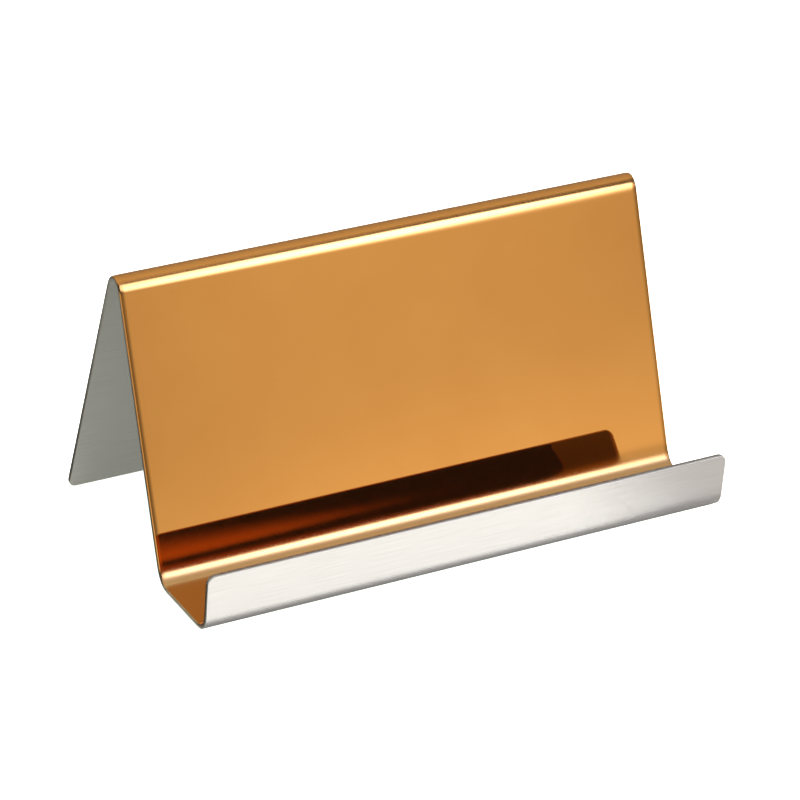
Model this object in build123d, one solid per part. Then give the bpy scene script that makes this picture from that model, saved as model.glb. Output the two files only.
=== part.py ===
from build123d import *
from math import cos, radians, sin, tan
import os

# A desk stand for business cards, folded from one strip of stainless sheet.
# X runs along the cards, -Y is the front with the lip, +Z is up.
# The origin is on the table, under the middle of the stand.

# The strip
sheet_width = 100.0         # along X, a card lying on its long side plus a margin at each end
steel_thickness = 0.8
coating_thickness = 0.05    # gold mirror layer, drawn thicker than a real coating
corner_radius = 1.5         # the four corners of the flat blank

# The folded shape, in millimetres and degrees
stand_height = 49.4         # table to the top of the fold
panel_lean = 20.0           # card panel, leaning back from upright
leg_lean = 19.5             # rear leg, leaning forward from upright
tray_depth = 16.1           # lip face to panel face, measured along the tray floor
lip_height = 11.3           # table to the top edge of the lip
lip_lean = 4.0              # lip, leaning out from upright

# Inside radii of the three bends in the steel
fold_inside_radius = 1.6    # leg to panel, over the top
heel_inside_radius = 4.6    # panel to tray floor
toe_inside_radius = 2.8     # tray floor to lip

# The polished face is outside the top fold and inside the two bends of the tray
fold_face_radius = fold_inside_radius + steel_thickness


def polished_line():
    # The polished face seen from the side, from the leg's foot over the fold to the lip's top edge
    panel = radians(panel_lean)
    leg = radians(leg_lean)
    lip = radians(lip_lean)
    floor_level = steel_thickness
    # The two straight faces would meet this far above the centre of the fold
    ridge_above_centre = fold_face_radius * cos((panel - leg) / 2) / sin((panel + leg) / 2)
    ridge_level = stand_height - coating_thickness - fold_face_radius + ridge_above_centre
    # The leg is cut square, so it stands on its bare inner corner
    foot_level = steel_thickness * sin(leg)

    ridge_place = tray_depth + (ridge_level - floor_level) * tan(panel)
    foot_place = ridge_place + (ridge_level - foot_level) * tan(leg)
    lip_place = -(lip_height - floor_level) * tan(lip)
    corners = [
        (foot_place, foot_level),
        (ridge_place, ridge_level),
        (tray_depth, floor_level),
        (0, floor_level),
        (lip_place, lip_height),
    ]
    bend_radii = [fold_face_radius, heel_inside_radius, toe_inside_radius]
    return FilletPolyline(*corners, radius=bend_radii)


def bent_strip(line, thickness, side):
    # A layer of the strip on one side of the polished face, with the blank's corners rounded
    section = make_face(offset(line, amount=thickness, side=side, closed=True).edges())
    strip = extrude(Plane.YZ * section, amount=sheet_width / 2, both=True)
    blank_corners = strip.edges().group_by(SortBy.LENGTH)[0]
    return fillet(blank_corners, radius=corner_radius)


face_line = polished_line()
sheet = bent_strip(face_line, steel_thickness, Side.LEFT)
coating = bent_strip(face_line, coating_thickness, Side.RIGHT)

# The stand's middle, front to back, goes over the origin
middle = Compound([sheet, coating]).bounding_box().center()
to_origin = Pos(0, -middle.Y, 0)

os.makedirs("parts", exist_ok=True)
export_step(to_origin * sheet, "parts/steel_sheet.step")
export_step(to_origin * coating, "parts/gold_coating.step")
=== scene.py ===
import math
import bmesh
import bpy
from mathutils import Matrix, Quaternion, Vector


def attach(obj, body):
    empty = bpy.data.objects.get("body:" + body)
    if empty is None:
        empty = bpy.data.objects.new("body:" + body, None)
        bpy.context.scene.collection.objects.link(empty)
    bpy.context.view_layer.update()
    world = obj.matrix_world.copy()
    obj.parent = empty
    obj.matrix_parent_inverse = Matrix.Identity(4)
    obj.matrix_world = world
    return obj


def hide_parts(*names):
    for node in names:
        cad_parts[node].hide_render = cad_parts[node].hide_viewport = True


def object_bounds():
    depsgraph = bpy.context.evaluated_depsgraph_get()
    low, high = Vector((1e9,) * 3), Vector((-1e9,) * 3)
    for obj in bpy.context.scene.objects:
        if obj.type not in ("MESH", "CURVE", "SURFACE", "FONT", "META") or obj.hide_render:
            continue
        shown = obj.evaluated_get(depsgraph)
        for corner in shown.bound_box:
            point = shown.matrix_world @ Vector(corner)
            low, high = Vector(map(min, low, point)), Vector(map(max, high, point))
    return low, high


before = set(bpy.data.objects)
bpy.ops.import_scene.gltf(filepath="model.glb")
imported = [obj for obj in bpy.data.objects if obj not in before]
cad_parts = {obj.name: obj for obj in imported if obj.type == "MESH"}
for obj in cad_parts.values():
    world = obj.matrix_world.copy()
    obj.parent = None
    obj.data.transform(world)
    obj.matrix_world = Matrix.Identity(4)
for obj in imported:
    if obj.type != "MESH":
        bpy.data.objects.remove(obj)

cadLow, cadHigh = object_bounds()
mm = 0.001
noiseSpan = (0.3, 0.7)      # where most values of a noise texture lie
print("frame loaded, box in mm", [round(side / mm, 2) for side in cadHigh - cadLow])


def linear(hexColour):
    shares = [int(hexColour[i:i + 2], 16) / 255 for i in (1, 3, 5)]
    return [c / 12.92 if c <= 0.04045 else ((c + 0.055) / 1.055) ** 2.4 for c in shares] + [1.0]


def node(tree, kind, settings=None, inputs=None):
    # adds one node; an input is a value or another node's output
    made = tree.nodes.new(kind)
    for name, value in (settings or {}).items():
        setattr(made, name, value)
    for name, value in (inputs or {}).items():
        if isinstance(value, bpy.types.NodeSocket):
            tree.links.new(value, made.inputs[name])
        else:
            made.inputs[name].default_value = value
    return made


def newMaterial(name):
    material = bpy.data.materials.new(name)
    material.use_nodes = True
    material.node_tree.nodes.clear()
    return material, material.node_tree


# The strip, with the frame's lengths and leans: millimetres and degrees
strip = {
    "steel": 0.8,
    "coat": 0.05,
    "cornerRadius": 1.5,
    "panelLean": 20.0,
    "legLean": 19.5,
    "lipLean": 4.0,
    "trayDepth": 16.1,
    "lipHeight": 11.3,
    "foldRadius": 2.4,      # on the polished face; the crown of a bend lies where such an arc's would
    "heelRadius": 3.3,
    "toeRadius": 2.5,
    "cornerSteps": 8,
    "foldSteps": 64,
    "heelSteps": 48,
    "heelSkew": 2.4,        # its turn grows slowly on the panel and is sharpest near the tray floor
    "toeSteps": 40,
    "lipCurl": 1.2,         # the lip bows outwards by this much from toe to rim
    "curlSteps": 10,
    "rollWidth": 0.24,      # polished face rounded off along the cut edge, as a blanking die leaves it
    "rollDrop": 0.05,
    "rollSteps": 4,
    "sideWidth": 1.0,       # and sinking a little towards the left and right sides
    "sideDrop": 0.07,
    "sideSteps": 6,
    "edgeRound": 0.06,      # deburred corner on the brushed side
    "roundSteps": 4,
    "edgeFinish": 1,        # the cut edge's place in the steel's list of materials
    "sharpAngle": 35.0,     # an edge that turns more than this stays sharp
    "sideSnap": 1e-3,       # a cut this near to a vertex goes through it
    "bendSnap": 1e-6,
    "bendTouch": 1e-4,      # a vertex this near to a bend line lies on it
    "clearance": 0.002,     # keeps the crown of the fold and the foot inside the frame's box
}


def bendLines(turn, radius, steps, skew=1.0):
    # the turn swells and fades along the bend, as air bending leaves it; same crown as a plain arc
    swells = [math.sin(math.pi * ((i + 0.5) / steps) ** skew) ** 2 for i in range(steps)]
    angles = [turn * swell / sum(swells) for swell in swells]
    heading, point, path = 0.0, Vector((0.5 / steps, 0.0)), []
    for angle in angles:
        path.append(point.copy())
        heading += angle
        point += Vector((math.cos(heading), math.sin(heading))) / steps
    end = point - Vector((math.cos(heading), math.sin(heading))) * 0.5 / steps
    after = end.y / math.sin(turn)
    before = end.x - after * math.cos(turn)
    crown = radius * (1 / math.cos(turn / 2) - 1)
    length = crown / min((p - Vector((before, 0.0))).length for p in path)
    return {"length": length, "before": before * length, "after": after * length, "angles": angles}


def planStrip():
    # where each bend line lies on the flat blank, measured from the foot, its angle and its share of
    # the way into the tray and of a worked bend
    leans = ("panelLean", "legLean", "lipLean", "lipCurl")
    panel, leg, lip, curl = (math.radians(strip[lean]) for lean in leans)
    top = cadHigh.z / mm - strip["clearance"] - strip["coat"] - strip["foldRadius"]
    ridge = top + strip["foldRadius"] * math.cos((panel - leg) / 2) / math.sin((panel + leg) / 2)
    runs = [
        (ridge - strip["steel"] * math.sin(leg)) / math.cos(leg),
        (ridge - strip["steel"]) / math.cos(panel),
        strip["trayDepth"],
        (strip["lipHeight"] - strip["steel"]) / math.cos(lip),
    ]
    bends = [
        bendLines(math.pi - panel - leg, strip["foldRadius"], strip["foldSteps"]),
        bendLines(panel - math.pi / 2, strip["heelRadius"], strip["heelSteps"], strip["heelSkew"]),
        bendLines(lip - curl / 2 - math.pi / 2, strip["toeRadius"], strip["toeSteps"]),
    ]
    lines, place, used = [], 0.0, 0.0
    for run, bend, entry, worked in zip(runs, bends, (0, 1, -1), (1, 1, 0)):
        place += run - used - bend["before"]
        step = bend["length"] / len(bend["angles"])
        for i, angle in enumerate(bend["angles"]):
            part = angle / sum(bend["angles"])
            lines.append((place + (i + 0.5) * step, angle, entry * part, worked * part))
        place += bend["length"]
        used = bend["after"]
    step = (runs[-1] - used) / strip["curlSteps"]
    for i in range(strip["curlSteps"]):
        lines.append((place + (i + 0.5) * step, curl / strip["curlSteps"], 0.0, 0.0))
    return lines, place + runs[-1] - used


def flatBlank(low, high, length):
    # the blank lies flat with its polished side up, foot at y = 0 and lip towards -y
    width = (cadHigh.x - cadLow.x) / mm
    bm = bmesh.new()
    bmesh.ops.create_cube(bm, size=1.0)
    bmesh.ops.scale(bm, vec=(width, length, high - low), verts=bm.verts)
    bmesh.ops.translate(bm, vec=(0, -length / 2, (high + low) / 2), verts=bm.verts)
    upright = [e for e in bm.edges if abs(e.verts[0].co.z - e.verts[1].co.z) > (high - low) / 2]
    bmesh.ops.bevel(bm, geom=upright, offset=strip["cornerRadius"], offset_type="OFFSET", affect="EDGES",
                    segments=strip["cornerSteps"], profile=0.5, material=-1)
    bm.normal_update()
    return bm


def facing(bm, up):
    return max(bm.faces, key=lambda face: face.calc_area() * face.normal.z * up)


def rollEdge(bm, up):
    # sinks the rim below the face and climbs back in rings; the lower side of the thin coat follows it
    face = facing(bm, up)
    bmesh.ops.translate(bm, vec=(0, 0, -strip["rollDrop"]), verts=face.verts)
    count = strip["rollSteps"]
    inwards = strip["rollWidth"] / count
    for i in range(count):
        rise = strip["rollDrop"] * ((1 - i / count) ** 2 - (1 - (i + 1) / count) ** 2)
        bmesh.ops.inset_region(bm, faces=[face], thickness=inwards, depth=rise * up, use_even_offset=True)
    bmesh.ops.inset_region(bm, faces=[face], thickness=inwards, use_even_offset=True)


def sinkSides(bm, lowest):
    # lets everything above the given level sink towards the left and right sides, strip by strip
    half = (cadHigh.x - cadLow.x) / mm / 2
    count = strip["sideSteps"]
    for side in (-1, 1):
        for i in range(count):
            everything = bm.verts[:] + bm.edges[:] + bm.faces[:]
            inwards = strip["sideWidth"] * (i + 1) / count
            bmesh.ops.bisect_plane(bm, geom=everything, dist=strip["sideSnap"],
                                   plane_co=(side * (half - inwards), 0, 0), plane_no=(side, 0, 0))
    for v in bm.verts:
        share = max(0.0, 1 - (half - abs(v.co.x)) / strip["sideWidth"])
        if v.co.z > lowest and share > 0:
            bmesh.ops.translate(bm, vec=(0, 0, -strip["sideDrop"] * share ** 2), verts=[v])


def roundEdge(bm):
    # climbs from the rim to the brushed face in rings along a quarter circle, with the cut edge's finish
    face = facing(bm, -1)
    corner = strip["edgeRound"]
    count = strip["roundSteps"]
    bmesh.ops.translate(bm, vec=(0, 0, corner), verts=face.verts)
    arc = [math.pi / 2 * i / count for i in range(count + 1)]
    for first, last in zip(arc, arc[1:]):
        inwards = corner * (math.cos(first) - math.cos(last))
        rise = corner * (math.sin(last) - math.sin(first))
        made = bmesh.ops.inset_region(bm, faces=[face], thickness=inwards, depth=rise,
                                      use_even_offset=True)
        for ring in made["faces"]:
            ring.material_index = strip["edgeFinish"]
    bmesh.ops.inset_region(bm, faces=[face], thickness=corner / count, use_even_offset=True)


def foldBlank(bm, lines):
    for place, _, _, _ in lines:
        everything = bm.verts[:] + bm.edges[:] + bm.faces[:]
        bmesh.ops.bisect_plane(bm, geom=everything, dist=strip["bendSnap"],
                               plane_co=(0, -place, 0), plane_no=(0, 1, 0))
    blankMap = bm.loops.layers.uv.new("flatBlank")
    for face in bm.faces:
        for loop in face.loops:
            loop[blankMap].uv = loop.vert.co.xy     # millimetres on the flat blank
    # trayShare is 1 on the tray floor and 0 on panel and lip, bendWork climbs by 1 through the fold and
    # through the heel, cutDepth is 0 on the polished side of the sheet and 1 on its brushed side
    layerNames = ("trayShare", "bendWork", "cutDepth")
    for name in layerNames:
        bm.verts.layers.float.new(name)
    trayShare, bendWork, cutDepth = (bm.verts.layers.float[name] for name in layerNames)
    for v in bm.verts:
        v[cutDepth] = -v.co.z / strip["steel"]
    flat = {v: -v.co.y for v in bm.verts}
    touch = strip["bendTouch"]
    # from the lip back to the foot, so that a line still lies flat when its turn comes
    for place, angle, entry, worked in reversed(lines):
        beyond = [v for v in bm.verts if flat[v] > place + touch]
        onLine = [v for v in bm.verts if abs(flat[v] - place) <= touch]
        for verts, share in ((beyond, 1.0), (onLine, 0.5)):
            for v in verts:
                v[trayShare] += entry * share
                v[bendWork] += worked * share
            turn = Matrix.Rotation(angle * share, 3, "X")
            bmesh.ops.rotate(bm, cent=(0, -place, 0), matrix=turn, verts=verts)
    leg = math.radians(strip["legLean"])
    upright = Matrix.Rotation(leg - math.pi / 2, 3, "X")
    footY = cadHigh.y / mm - strip["coat"] * math.cos(leg)
    footZ = strip["steel"] * math.sin(leg) + strip["clearance"] / 2
    bmesh.ops.rotate(bm, cent=(0, 0, 0), matrix=upright, verts=bm.verts)
    bmesh.ops.translate(bm, vec=(0, footY, footZ), verts=bm.verts)
    bmesh.ops.scale(bm, vec=(mm, mm, mm), verts=bm.verts)


def addPiece(bm, name, materials):
    bmesh.ops.recalc_face_normals(bm, faces=bm.faces)
    for face in bm.faces:
        face.smooth = True
    for edge in bm.edges:
        edge.smooth = edge.calc_face_angle(0) < math.radians(strip["sharpAngle"])
    mesh = bpy.data.meshes.new(name)
    bm.to_mesh(mesh)
    bm.free()
    for material in materials:
        mesh.materials.append(material)
    piece = bpy.data.objects.new(name, mesh)
    bpy.context.scene.collection.objects.link(piece)
    print(name, len(mesh.polygons), "faces")
    return piece


# Stainless steel, ground with a belt along the cards: fine parallel hairlines, a broad sheen across them
hairline = {
    "tone": ("#B4AFAA", "#D2CDC9"),
    "spacing": 0.12,        # real lines lie about 0.05 mm apart, drawn coarser to show
    "length": 11.0,
    "roughness": (0.16, 0.24),
    "anisotropy": 0.45,
    "depth": 0.002,
    "relief": 0.4,          # strength of the bump
}


def brushedStainless():
    material, tree = newMaterial("stainless_steel_hairline_brushed")
    blank = node(tree, "ShaderNodeUVMap", {"uv_map": "flatBlank"})
    stretch = node(tree, "ShaderNodeMapping", None, {
        "Vector": blank.outputs["UV"],
        "Scale": (1 / hairline["length"], 1 / hairline["spacing"], 1.0),
    })
    lines = node(tree, "ShaderNodeTexNoise", {"noise_dimensions": "2D"}, {
        "Vector": stretch.outputs["Vector"], "Scale": 1.0, "Detail": 3.0, "Roughness": 0.6,
    })
    tone = node(tree, "ShaderNodeMix", {"data_type": "RGBA"}, {
        0: lines.outputs["Fac"], 6: linear(hairline["tone"][0]), 7: linear(hairline["tone"][1]),
    })
    rough = node(tree, "ShaderNodeMapRange", None, {
        "Value": lines.outputs["Fac"], "From Min": noiseSpan[0], "From Max": noiseSpan[1],
        "To Min": hairline["roughness"][0], "To Max": hairline["roughness"][1],
    })
    grooves = node(tree, "ShaderNodeBump", None, {
        "Height": lines.outputs["Fac"], "Strength": hairline["relief"], "Distance": hairline["depth"] * mm,
    })
    along = node(tree, "ShaderNodeTangent", {"direction_type": "UV_MAP", "uv_map": "flatBlank"})
    shader = node(tree, "ShaderNodeBsdfPrincipled", None, {
        "Base Color": tone.outputs[2], "Metallic": 1.0, "Roughness": rough.outputs["Result"],
        "Anisotropic": hairline["anisotropy"], "Normal": grooves.outputs["Normal"],
        "Tangent": along.outputs["Tangent"],
    })
    node(tree, "ShaderNodeOutputMaterial", None, {"Surface": shader.outputs["BSDF"]})
    return material


# The sheared edge of the sheet: finely mottled and satin, with painted light across its thickness: darker
# where the cut starts on the polished side, a painted dark reflection of the burnished band, and paler
# towards the brushed side, a painted highlight on the torn band
cutEdge = {
    "tone": ("#75716B", "#A29D94"),
    "mottle": 0.35,             # millimetres
    "mottleSpan": (0.35, 0.65),
    # painted highlight: lamp light on the rough torn band, given as a paler tone
    "tornLitTone": "#D0C8B8",
    "tornDepth": (0.45, 0.75),  # share of the thickness, from the polished side
    "roughness": 0.5,
}


def shearedStainless():
    material, tree = newMaterial("stainless_steel_sheared_edge")
    place = node(tree, "ShaderNodeTexCoord")
    grain = node(tree, "ShaderNodeTexNoise", None, {
        "Vector": place.outputs["Object"], "Scale": 1 / (cutEdge["mottle"] * mm), "Detail": 2.0,
    })
    mottled = node(tree, "ShaderNodeMapRange", None, {
        "Value": grain.outputs["Fac"],
        "From Min": cutEdge["mottleSpan"][0], "From Max": cutEdge["mottleSpan"][1],
    })
    tone = node(tree, "ShaderNodeMix", {"data_type": "RGBA"}, {
        0: mottled.outputs["Result"], 6: linear(cutEdge["tone"][0]), 7: linear(cutEdge["tone"][1]),
    })
    depth = node(tree, "ShaderNodeAttribute", {"attribute_name": "cutDepth"})
    tornLitShare = node(tree, "ShaderNodeMapRange", None, {
        "Value": depth.outputs["Fac"],
        "From Min": cutEdge["tornDepth"][0], "From Max": cutEdge["tornDepth"][1],
    })
    # painted light: pale tone on the brushed side as a painted highlight, darker mottle on the polished
    # side as a painted dark reflection
    litZones = node(tree, "ShaderNodeMix", {"data_type": "RGBA"}, {
        0: tornLitShare.outputs["Result"], 6: tone.outputs[2], 7: linear(cutEdge["tornLitTone"]),
    })
    shader = node(tree, "ShaderNodeBsdfPrincipled", None, {
        "Base Color": litZones.outputs[2], "Metallic": 1.0, "Roughness": cutEdge["roughness"],
    })
    node(tree, "ShaderNodeOutputMaterial", None, {"Surface": shader.outputs["BSDF"]})
    return material


# Gold-toned vacuum coating on mirror-polished stainless: warm clear reflections, a trace of waviness
goldMirror = {
    "tone": ("#CB8A43", "#D09149"),
    "cloud": 14.0,          # slow drift of the coating's tone
    "wave": 9.0,            # ripple of the polished sheet
    "waveHeight": 0.0002,
    "metallic": 0.99,       # a trace of dust, here and as a sheen, greys the darkest reflections
    "dust": 0.02,
    "roughness": (0.02, 0.035),
    "smear": 2.5,           # wiping marks
    "trayTint": "#BFA878",      # paler, greyer tone that fades in through the heel, covers the tray floor and fades out through the toe
    "trayTintShare": 0.75,
    "rubbed": 0.40,         # added roughness where the punch pressed the fold and the heel
    "rubbedSpread": 0.7,    # the lower, the wider it spreads from the middle of a bend
}


def goldCoated():
    material, tree = newMaterial("gold_coated_mirror_stainless")
    blank = node(tree, "ShaderNodeUVMap", {"uv_map": "flatBlank"})
    clouds = node(tree, "ShaderNodeTexNoise", {"noise_dimensions": "2D"}, {
        "Vector": blank.outputs["UV"], "Scale": 1 / goldMirror["cloud"], "Detail": 2.0,
    })
    tone = node(tree, "ShaderNodeMix", {"data_type": "RGBA"}, {
        0: clouds.outputs["Fac"], 6: linear(goldMirror["tone"][0]), 7: linear(goldMirror["tone"][1]),
    })
    smears = node(tree, "ShaderNodeTexNoise", {"noise_dimensions": "2D"}, {
        "Vector": blank.outputs["UV"], "Scale": 1 / goldMirror["smear"], "Detail": 4.0,
    })
    rough = node(tree, "ShaderNodeMapRange", None, {
        "Value": smears.outputs["Fac"], "From Min": noiseSpan[0], "From Max": noiseSpan[1],
        "To Min": goldMirror["roughness"][0], "To Max": goldMirror["roughness"][1],
    })
    inTray = node(tree, "ShaderNodeAttribute", {"attribute_name": "trayShare"})
    trayTint = node(tree, "ShaderNodeMath", {"operation": "MULTIPLY"}, {
        0: inTray.outputs["Fac"], 1: goldMirror["trayTintShare"],
    })
    # paler, greyer tone over the tray floor, fading in through the heel and out through the toe
    greyed = node(tree, "ShaderNodeMix", {"data_type": "RGBA"}, {
        0: trayTint.outputs["Value"], 6: tone.outputs[2], 7: linear(goldMirror["trayTint"]),
    })
    work = node(tree, "ShaderNodeAttribute", {"attribute_name": "bendWork"})
    # 0 beside a bend and one half in its middle
    bent = node(tree, "ShaderNodeMath", {"operation": "PINGPONG"}, {0: work.outputs["Fac"], 1: 0.5})
    pressed = node(tree, "ShaderNodeMath", {"operation": "POWER"}, {
        0: bent.outputs["Value"], 1: goldMirror["rubbedSpread"],
    })
    dulled = node(tree, "ShaderNodeMath", {"operation": "MULTIPLY_ADD"}, {
        0: pressed.outputs["Value"], 1: goldMirror["rubbed"] * 2 ** goldMirror["rubbedSpread"],
        2: rough.outputs["Result"],
    })
    ripple = node(tree, "ShaderNodeTexNoise", {"noise_dimensions": "2D"}, {
        "Vector": blank.outputs["UV"], "Scale": 1 / goldMirror["wave"], "Detail": 0.0,
    })
    waves = node(tree, "ShaderNodeBump", None, {
        "Height": ripple.outputs["Fac"], "Strength": 1.0, "Distance": goldMirror["waveHeight"] * mm,
    })
    shader = node(tree, "ShaderNodeBsdfPrincipled", None, {
        "Base Color": greyed.outputs[2], "Metallic": goldMirror["metallic"],
        "Sheen Weight": goldMirror["dust"], "Roughness": dulled.outputs["Value"],
        "Normal": waves.outputs["Normal"],
    })
    node(tree, "ShaderNodeOutputMaterial", None, {"Surface": shader.outputs["BSDF"]})
    return material


# Folded pieces
bendPlan, blankLength = planStrip()
print("blank", round(blankLength, 2), "mm long,", len(bendPlan), "bend lines")

steelBlank = flatBlank(-strip["steel"], 0.0, blankLength)
for face in steelBlank.faces:
    upright = abs(face.normal.z) < 0.5
    face.material_index = strip["edgeFinish"] if upright else 0
rollEdge(steelBlank, 1)
roundEdge(steelBlank)
sinkSides(steelBlank, -strip["steel"] / 2)
foldBlank(steelBlank, bendPlan)
steelPiece = addPiece(steelBlank, "bent_steel_sheet", [brushedStainless(), shearedStainless()])
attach(steelPiece, "root")
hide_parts("steel_sheet")

goldBlank = flatBlank(0.0, strip["coat"], blankLength)
rollEdge(goldBlank, 1)
rollEdge(goldBlank, -1)
sinkSides(goldBlank, -strip["steel"] / 2)
foldBlank(goldBlank, bendPlan)
goldPiece = addPiece(goldBlank, "gold_mirror_face", [goldCoated()])
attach(goldPiece, "root")
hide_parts("gold_coating")


# Studio, in metres
def stageMesh(bm, name, material):
    mesh = bpy.data.meshes.new(name)
    bm.to_mesh(mesh)
    bm.free()
    mesh.materials.append(material)
    thing = bpy.data.objects.new(name, mesh)
    bpy.context.scene.collection.objects.link(thing)
    return thing


def direction(settings):
    # points from the stand towards an azimuth, counted from the front to the right, and an elevation
    around, rise = math.radians(settings["azimuth"]), math.radians(settings["elevation"])
    return Vector((math.sin(around) * math.cos(rise), -math.cos(around) * math.cos(rise), math.sin(rise)))


# Opal shooting table, lit a little from below through greenish acrylic
table = {
    "tone": "#F4F4F2",
    "roughness": 0.9,
    "glowTone": "#E9F4EA",
    "glow": 0.34,
    "pictureGlow": 1.0,         # more of that glow in the picture itself, so that shadows wash out
    "size": 3.0,
    "drop": 0.01,               # millimetres below the stand
}


def shootingTable():
    material, tree = newMaterial("opal_acrylic_shooting_table")
    sight = node(tree, "ShaderNodeLightPath")
    glow = node(tree, "ShaderNodeMath", {"operation": "MULTIPLY_ADD"}, {
        0: sight.outputs["Is Camera Ray"], 1: table["pictureGlow"], 2: table["glow"],
    })
    shader = node(tree, "ShaderNodeBsdfPrincipled", None, {
        "Base Color": linear(table["tone"]), "Roughness": table["roughness"], "Specular IOR Level": 0.0,
        "Emission Color": linear(table["glowTone"]), "Emission Strength": glow.outputs["Value"],
    })
    node(tree, "ShaderNodeOutputMaterial", None, {"Surface": shader.outputs["BSDF"]})
    bm = bmesh.new()
    bmesh.ops.create_grid(bm, x_segments=1, y_segments=1, size=table["size"] / 2)
    bmesh.ops.translate(bm, vec=(0, 0, -table["drop"] * mm), verts=bm.verts)
    stageMesh(bm, "shooting_table", material)


# Light from the room: pale low walls, a dark gap above them and a scrim overhead. First how bright each
# is, then where it fades into the next, in the X, Y or Z of the direction looked at
room = {
    "front": 1.02,              # pale low wall in front
    "slot": 0.25,               # share of its light in a darker slot, and far on the right
    "right": 0.2,
    "behind": 0.12,             # dark straight behind, paler to both sides
    "behindSides": 0.6,
    "foot": 1.45,               # the wall is brightest at its foot
    "gapFront": 0.01,           # dark room between wall and ceiling, paler low on the right and behind
    "gapRight": 0.95,
    "gapBehind": 0.6,
    "overhead": 0.9,            # scrim above the table
    "slotStart": (-0.30, 0.0),
    "slotEnd": (0.18, 0.43),
    "farRight": (0.435, 0.72),
    "behindStart": (-0.2, 0.25),
    "behindEnd": (0.50, 0.75),
    "wallTurn": (-0.6, 0.5),
    "wallFoot": (0.08, 0.145),
    "wallTop": (0.22, 0.42),
    "gapPale": (0.480, 0.489),
    "gapPaleTop": (0.42, 0.56),
    "gapTurn": (-0.4, 0.2),
    "scrimEdge": (0.78, 0.86),
}


def studioRoom():
    world = bpy.data.worlds.new("studio_room")
    bpy.context.scene.world = world
    world.use_nodes = True
    tree = world.node_tree
    tree.nodes.clear()
    look = node(tree, "ShaderNodeTexCoord")
    axes = node(tree, "ShaderNodeSeparateXYZ", None, {"Vector": look.outputs["Generated"]})

    def fade(axis, stretch, first=0.0, last=1.0):
        return node(tree, "ShaderNodeMapRange", {"interpolation_type": "SMOOTHSTEP"}, {
            "Value": axes.outputs[axis], "From Min": room[stretch][0], "From Max": room[stretch][1],
            "To Min": first, "To Max": last,
        }).outputs["Result"]

    def join(operation, first, second):
        joined = node(tree, "ShaderNodeMath", {"operation": operation}, {0: first, 1: second})
        return joined.outputs["Value"]

    def blend(share, first, second):
        mixed = node(tree, "ShaderNodeMix", {"data_type": "FLOAT"}, {0: share, 2: first, 3: second})
        return mixed.outputs[0]

    slot = join("MAXIMUM", fade("X", "slotStart", 1.0, room["slot"]),
                fade("X", "slotEnd", room["slot"], 1.0))
    front = join("MULTIPLY", slot, fade("X", "farRight", room["front"], room["front"] * room["right"]))
    behind = join("MAXIMUM", fade("X", "behindStart", room["behindSides"], room["behind"]),
                  fade("X", "behindEnd", room["behind"], room["behindSides"]))
    walls = join("MULTIPLY", blend(fade("Y", "wallTurn"), front, behind),
                 fade("Z", "wallFoot", room["foot"], 1.0))
    paleRight = fade("X", "gapPale", room["gapFront"], room["gapRight"])
    gapAhead = blend(fade("Z", "gapPaleTop"), paleRight, room["gapFront"])
    gap = blend(fade("Y", "gapTurn"), gapAhead, room["gapBehind"])
    lower = blend(fade("Z", "wallTop"), walls, gap)
    strength = blend(fade("Z", "scrimEdge"), lower, room["overhead"])
    light = node(tree, "ShaderNodeBackground", None, {"Color": linear("#FFFFFF"), "Strength": strength})
    node(tree, "ShaderNodeOutputWorld", None, {"Surface": light.outputs["Background"]})


# A diffuser in front of the stand and to the right, brightest across its middle
diffuser = {
    "tone": "#AFC2FF",          # a window's cool daylight
    "power": 15.2,
    "azimuth": 31.5,
    "elevation": 30.0,
    "turned": 36.9,             # about its own axis, so that the upper edge drops to the right
    "reach": 0.5,
    "aim": 0.03,                # height that it faces
    "width": 0.50,
    "height": 0.40,
    "lowerFade": (-0.154, -0.032),
    "lowerLean": 0.20,          # the lower edge is less slanted than the upper one
    "upperFade": (0.1075, 0.1505),
    "rightFade": (-0.135, 0.005),
    "leftFade": (0.02, 0.16),
    "leftShare": 0.35,
}


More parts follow.
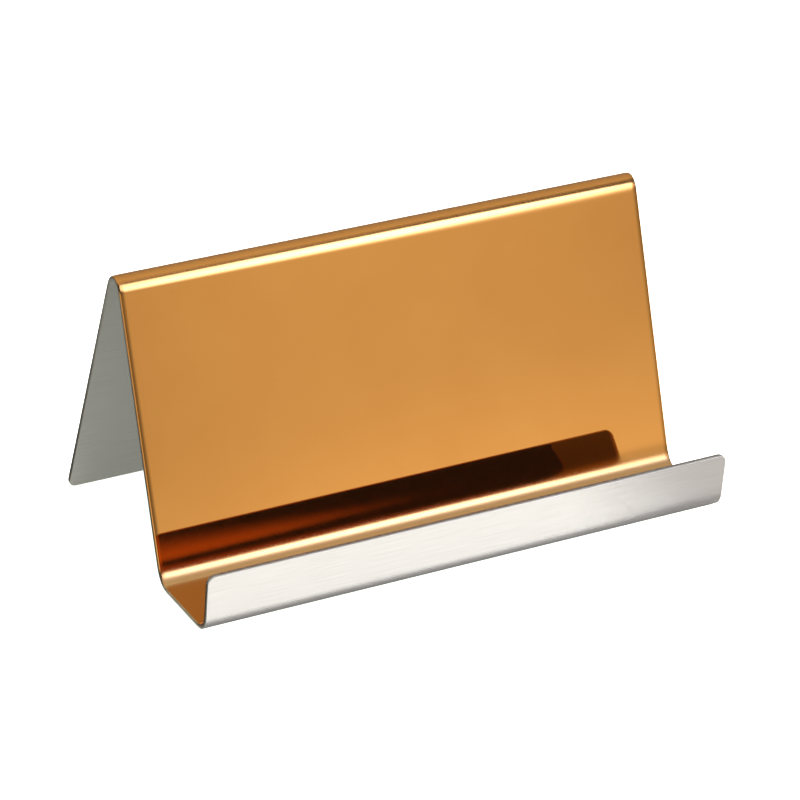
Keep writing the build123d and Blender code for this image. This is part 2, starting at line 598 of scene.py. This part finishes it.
def softbox():
    material, tree = newMaterial("white_diffuser_cloth")
    place = node(tree, "ShaderNodeTexCoord")
    axes = node(tree, "ShaderNodeSeparateXYZ", None, {"Vector": place.outputs["Object"]})
    leaning = node(tree, "ShaderNodeMath", {"operation": "MULTIPLY_ADD"}, {
        0: axes.outputs["X"], 1: diffuser["lowerLean"], 2: axes.outputs["Y"],
    })

    def fade(value, stretch, first, last):
        return node(tree, "ShaderNodeMapRange", {"interpolation_type": "SMOOTHSTEP"}, {
            "Value": value, "From Min": diffuser[stretch][0], "From Max": diffuser[stretch][1],
            "To Min": first, "To Max": last,
        }).outputs["Result"]

    def times(first, second):
        product = node(tree, "ShaderNodeMath", {"operation": "MULTIPLY"}, {0: first, 1: second})
        return product.outputs["Value"]

    across = times(fade(axes.outputs["X"], "rightFade", 0.0, 1.0),
                   fade(axes.outputs["X"], "leftFade", 1.0, diffuser["leftShare"]))
    upright = times(fade(leaning.outputs["Value"], "lowerFade", 0.0, 1.0),
                    fade(axes.outputs["Y"], "upperFade", diffuser["power"], 0.0))
    glow = times(across, upright)
    light = node(tree, "ShaderNodeEmission", None, {"Color": linear(diffuser["tone"]), "Strength": glow})
    clear = node(tree, "ShaderNodeBsdfTransparent")
    shade = node(tree, "ShaderNodeAddShader", None, {
        0: light.outputs["Emission"], 1: clear.outputs["BSDF"],
    })
    node(tree, "ShaderNodeOutputMaterial", None, {"Surface": shade.outputs["Shader"]})
    bm = bmesh.new()
    bmesh.ops.create_grid(bm, x_segments=1, y_segments=1, size=0.5)
    bmesh.ops.scale(bm, vec=(diffuser["width"], diffuser["height"], 1.0), verts=bm.verts)
    cloth = stageMesh(bm, "softbox", material)
    away = direction(diffuser)
    cloth.location = Vector((0, 0, diffuser["aim"])) + away * diffuser["reach"]
    cloth.rotation_mode = "QUATERNION"
    level = (-away).to_track_quat("Z", "Y")
    cloth.rotation_quaternion = level @ Quaternion((0, 0, 1), math.radians(diffuser["turned"]))
    cloth.visible_camera = False
    cloth.visible_diffuse = False      # the fill lamp lights the table


# One broad lamp, high in front and to the right, that whitens the table out of the mirror's sight
fill = {
    "size": 2.0,
    "place": (0.7, -0.8, 1.0),
    "power": 48.5,
}


def tableFill():
    lamp = bpy.data.objects.new("table_fill", bpy.data.lights.new("table_fill", "AREA"))
    lamp.data.size = fill["size"]
    lamp.data.energy = fill["power"]
    lamp.location = fill["place"]
    lamp.rotation_mode = "QUATERNION"
    lamp.rotation_quaternion = (-lamp.location).to_track_quat("-Z", "Y")
    lamp.visible_camera = False
    lamp.visible_glossy = False
    bpy.context.scene.collection.objects.link(lamp)


# Painted shade: cards lying on the table, seen only in the metal, throwing no shadow and lighting nothing,
# darken what the cut edges, the lip's right end and its toe reflect. The level is in millimetres, and a
# card fades in from its left and from its front side
shadeCards = {
    # painted shade in what the left cut edges reflect
    "left_shade_card": {
        "low": (-0.200, -0.060), "high": (-0.0505, 0.140), "level": 0.03,
        "tone": "#3A3A38", "fade": (0.05, 0.001),
    },
    # painted shade in the reflection of the lip's right end
    "right_shade_card": {
        "low": (0.022, -0.075), "high": (0.072, -0.0285), "level": 0.03,
        "tone": "#CACAC8", "fade": (0.032, 0.001),
    },
    # painted contact shadow under the toe, seen in its reflection
    "toe_shadow_card": {
        "low": (-0.058, -0.0305), "high": (0.058, -0.0250), "level": 0.04,
        "tone": "#A6A6A4", "fade": (0.001, 0.0035),
    },
    # painted contact shadow under the toe's right end, seen in its reflection
    "toe_end_shadow_card": {
        "low": (0.016, -0.0335), "high": (0.060, -0.0250), "level": 0.05,
        "tone": "#A4A4A2", "fade": (0.034, 0.0055),
    },
}


def shadeCard(name, card):
    width, depth = (high - low for low, high in zip(card["low"], card["high"]))
    material, tree = newMaterial(name)
    place = node(tree, "ShaderNodeTexCoord")
    axes = node(tree, "ShaderNodeSeparateXYZ", None, {"Vector": place.outputs["Object"]})
    across, inwards = (
        node(tree, "ShaderNodeMapRange", {"interpolation_type": "SMOOTHSTEP"}, {
            "Value": axes.outputs[axis], "From Min": -size / 2, "From Max": fade - size / 2,
        }) for axis, size, fade in zip("XY", (width, depth), card["fade"])
    )
    cover = node(tree, "ShaderNodeMath", {"operation": "MULTIPLY"}, {
        0: across.outputs["Result"], 1: inwards.outputs["Result"],
    })
    # painted shade: a sheet seen only in reflections
    clear = node(tree, "ShaderNodeBsdfTransparent")
    shadeSheet = node(tree, "ShaderNodeBsdfDiffuse", None, {"Color": linear(card["tone"])})
    shade = node(tree, "ShaderNodeMixShader", None, {
        0: cover.outputs["Value"], 1: clear.outputs["BSDF"], 2: shadeSheet.outputs["BSDF"],
    })
    node(tree, "ShaderNodeOutputMaterial", None, {"Surface": shade.outputs["Shader"]})
    bm = bmesh.new()
    bmesh.ops.create_grid(bm, x_segments=1, y_segments=1, size=0.5)
    bmesh.ops.scale(bm, vec=(width, depth, 1.0), verts=bm.verts)
    sheet = stageMesh(bm, name, material)
    sheet.location = (card["low"][0] + width / 2, card["low"][1] + depth / 2, card["level"] * mm)
    sheet.visible_camera = False
    sheet.visible_shadow = False
    sheet.visible_diffuse = False


shootingTable()
studioRoom()
softbox()
tableFill()
for name, card in shadeCards.items():
    shadeCard(name, card)
print("studio lit")

# Camera, at the angle of the photograph
shot = {
    "place": (-0.30178, -0.53410, 0.34727),
    "azimuth": -29.491,
    "elevation": 28.116,
    "roll": 2.35,
    "lens": 181.44,
    "sensor": 36.0,
}


def photoCamera():
    camera = bpy.data.objects.new("photo_camera", bpy.data.cameras.new("photo_camera"))
    camera.data.lens = shot["lens"]
    camera.data.sensor_width = shot["sensor"]
    camera.location = shot["place"]
    camera.rotation_mode = "QUATERNION"
    level = (-direction(shot)).to_track_quat("-Z", "Y")
    camera.rotation_quaternion = level @ Quaternion((0, 0, 1), math.radians(shot["roll"]))
    bpy.context.scene.collection.objects.link(camera)
    bpy.context.scene.camera = camera


photoCamera()
bpy.context.scene.view_settings.view_transform = "Standard"
print("camera set")

bpy.context.view_layer.update()
